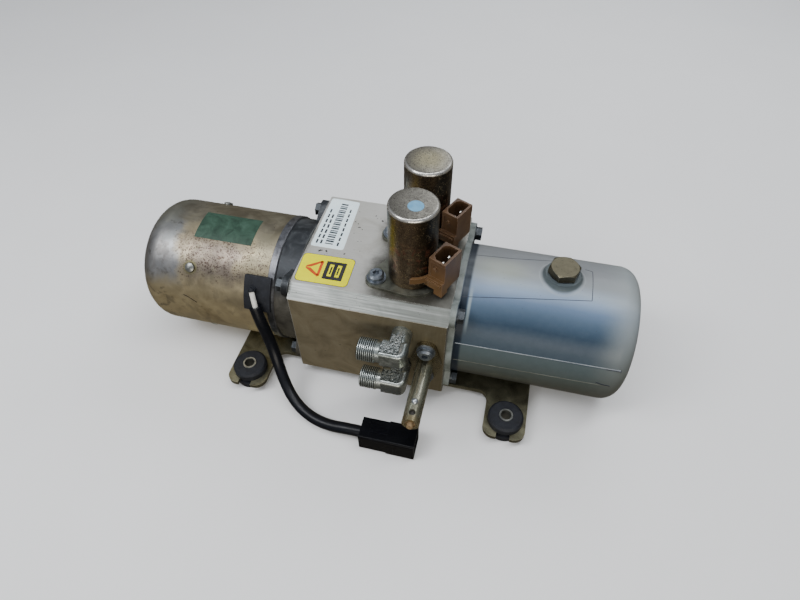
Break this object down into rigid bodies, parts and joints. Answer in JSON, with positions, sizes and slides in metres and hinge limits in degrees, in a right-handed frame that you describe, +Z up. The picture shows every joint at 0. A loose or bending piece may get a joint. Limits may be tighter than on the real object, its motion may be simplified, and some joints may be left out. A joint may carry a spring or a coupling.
{
  "type": "hydraulic power unit",
  "caption": "Compact electric hydraulic power unit: motor, valve block with solenoid valves, gear pump in an oil tank, hose elbows and a hand pump, on a rubber-mounted plate.",
  "frame": {"origin": "centre of the four foot bolts, at floor level", "axes": "+Z up, +X from the electric motor to the oil tank, -Y the side with the hose ports"},
  "size_m": [0.4035, 0.2073, 0.178],
  "materials": {
    "machined_aluminium": "satin",
    "cast_aluminium": "matte",
    "yellow_zinc_can": "satin",
    "yellow_zinc_plate": "satin",
    "zinc_steel": "satin",
    "rusty_steel": "matte",
    "coil_steel": "satin",
    "plug_brass": "satin",
    "bright_steel": "polished",
    "spring_steel": "satin",
    "laminated_steel": "matte",
    "copper": "satin",
    "tinned_brass": "polished",
    "carbon": "matte",
    "black_rubber": "matte",
    "tank_plastic": "satin",
    "brown_plastic": "satin",
    "black_plastic": "satin",
    "white_insulation": "satin",
    "strainer_mesh": "matte"
  },
  "bodies": {
    "housing": {"manifold_block": "machined_aluminium", "pump_body": "machined_aluminium", "pump_cover": "machined_aluminium", "motor_adapter": "cast_aluminium", "motor_can": "yellow_zinc_can", "mounting_plate": "yellow_zinc_plate", "coil_flanges": "yellow_zinc_plate", "bush_sleeves": "zinc_steel", "plate_screws": "zinc_steel", "pole_screws": "zinc_steel", "flange_screws": "zinc_steel", "torx_screws": "zinc_steel", "pump_screws": "zinc_steel", "elbow_upper": "zinc_steel", "elbow_lower": "zinc_steel", "hand_pump_barrel": "zinc_steel", "detent_ball": "zinc_steel", "valve_tubes": "zinc_steel", "relief_adjuster": "zinc_steel", "return_tube": "zinc_steel", "suction_tube": "zinc_steel", "coil_can_front": "coil_steel", "coil_can_rear": "coil_steel", "shaft_bearings": "bright_steel", "brush_springs": "spring_steel", "valve_spring_front": "spring_steel", "valve_spring_rear": "spring_steel", "plunger_spring": "spring_steel", "relief_spring": "spring_steel", "pole_shoes": "laminated_steel", "field_coils": "copper", "coil_windings": "copper", "connector_blades": "tinned_brass", "lead_terminals": "tinned_brass", "brushes": "carbon", "rubber_bushes": "black_rubber", "cable_grommet": "black_rubber", "shaft_seal": "black_rubber", "tank_seal": "black_rubber", "filler_seal": "black_rubber", "tank": "tank_plastic", "coil_connector_front": "brown_plastic", "coil_connector_rear": "brown_plastic", "lead_sleeve": "black_plastic", "lead_connector": "black_plastic", "brush_holder": "black_plastic", "motor_lead": "white_insulation", "suction_filter": "strainer_mesh"},
    "rotor": {"motor_shaft": "bright_steel", "armature_core": "laminated_steel", "armature_winding": "copper", "commutator": "copper", "shaft_coupling": "bright_steel", "drive_gear": "bright_steel"},
    "idler": {"driven_gear": "bright_steel"},
    "valve_front": {"valve_plunger_front": "bright_steel"},
    "valve_rear": {"valve_plunger_rear": "bright_steel"},
    "relief": {"relief_poppet": "bright_steel"},
    "plunger": {"hand_pump_plunger": "rusty_steel"},
    "filler": {"filler_plug": "plug_brass"}
  },
  "joints": [
    {"name": "rotor_spin", "type": "hinge", "parent": "housing", "child": "rotor", "pos_m": [0, 0, 0.058], "axis": [1, 0, 0], "continuous": true},
    {"name": "idler_spin", "type": "hinge", "parent": "housing", "child": "idler", "pos_m": [0, 0, 0.036], "axis": [1, 0, 0], "continuous": true},
    {"name": "valve_front_lift", "type": "slide", "parent": "housing", "child": "valve_front", "axis": [0, 0, 1], "range_m": [0, 0.003], "stiffness_N_per_m": 900, "springref_m": -0.002, "deforming": ["valve_spring_front"]},
    {"name": "valve_rear_lift", "type": "slide", "parent": "housing", "child": "valve_rear", "axis": [0, 0, 1], "range_m": [0, 0.003], "stiffness_N_per_m": 900, "springref_m": -0.002, "deforming": ["valve_spring_rear"]},
    {"name": "relief_lift", "type": "slide", "parent": "housing", "child": "relief", "axis": [0, 1, 0], "range_m": [0, 0.0015], "stiffness_N_per_m": 2000, "springref_m": -0.001, "deforming": ["relief_spring"]},
    {"name": "hand_pump_stroke", "type": "slide", "parent": "housing", "child": "plunger", "axis": [0, 1, 0], "range_m": [0, 0.01], "stiffness_N_per_m": 800, "springref_m": -0.003, "deforming": ["plunger_spring"]},
    {"name": "filler_lift", "type": "slide", "parent": "housing", "child": "filler", "axis": [0, 0, 1], "range_m": [0, 0.03]}
  ],
  "couplings": [
    {"joint": "idler_spin", "follows": "rotor_spin", "ratio": -1}
  ]
}
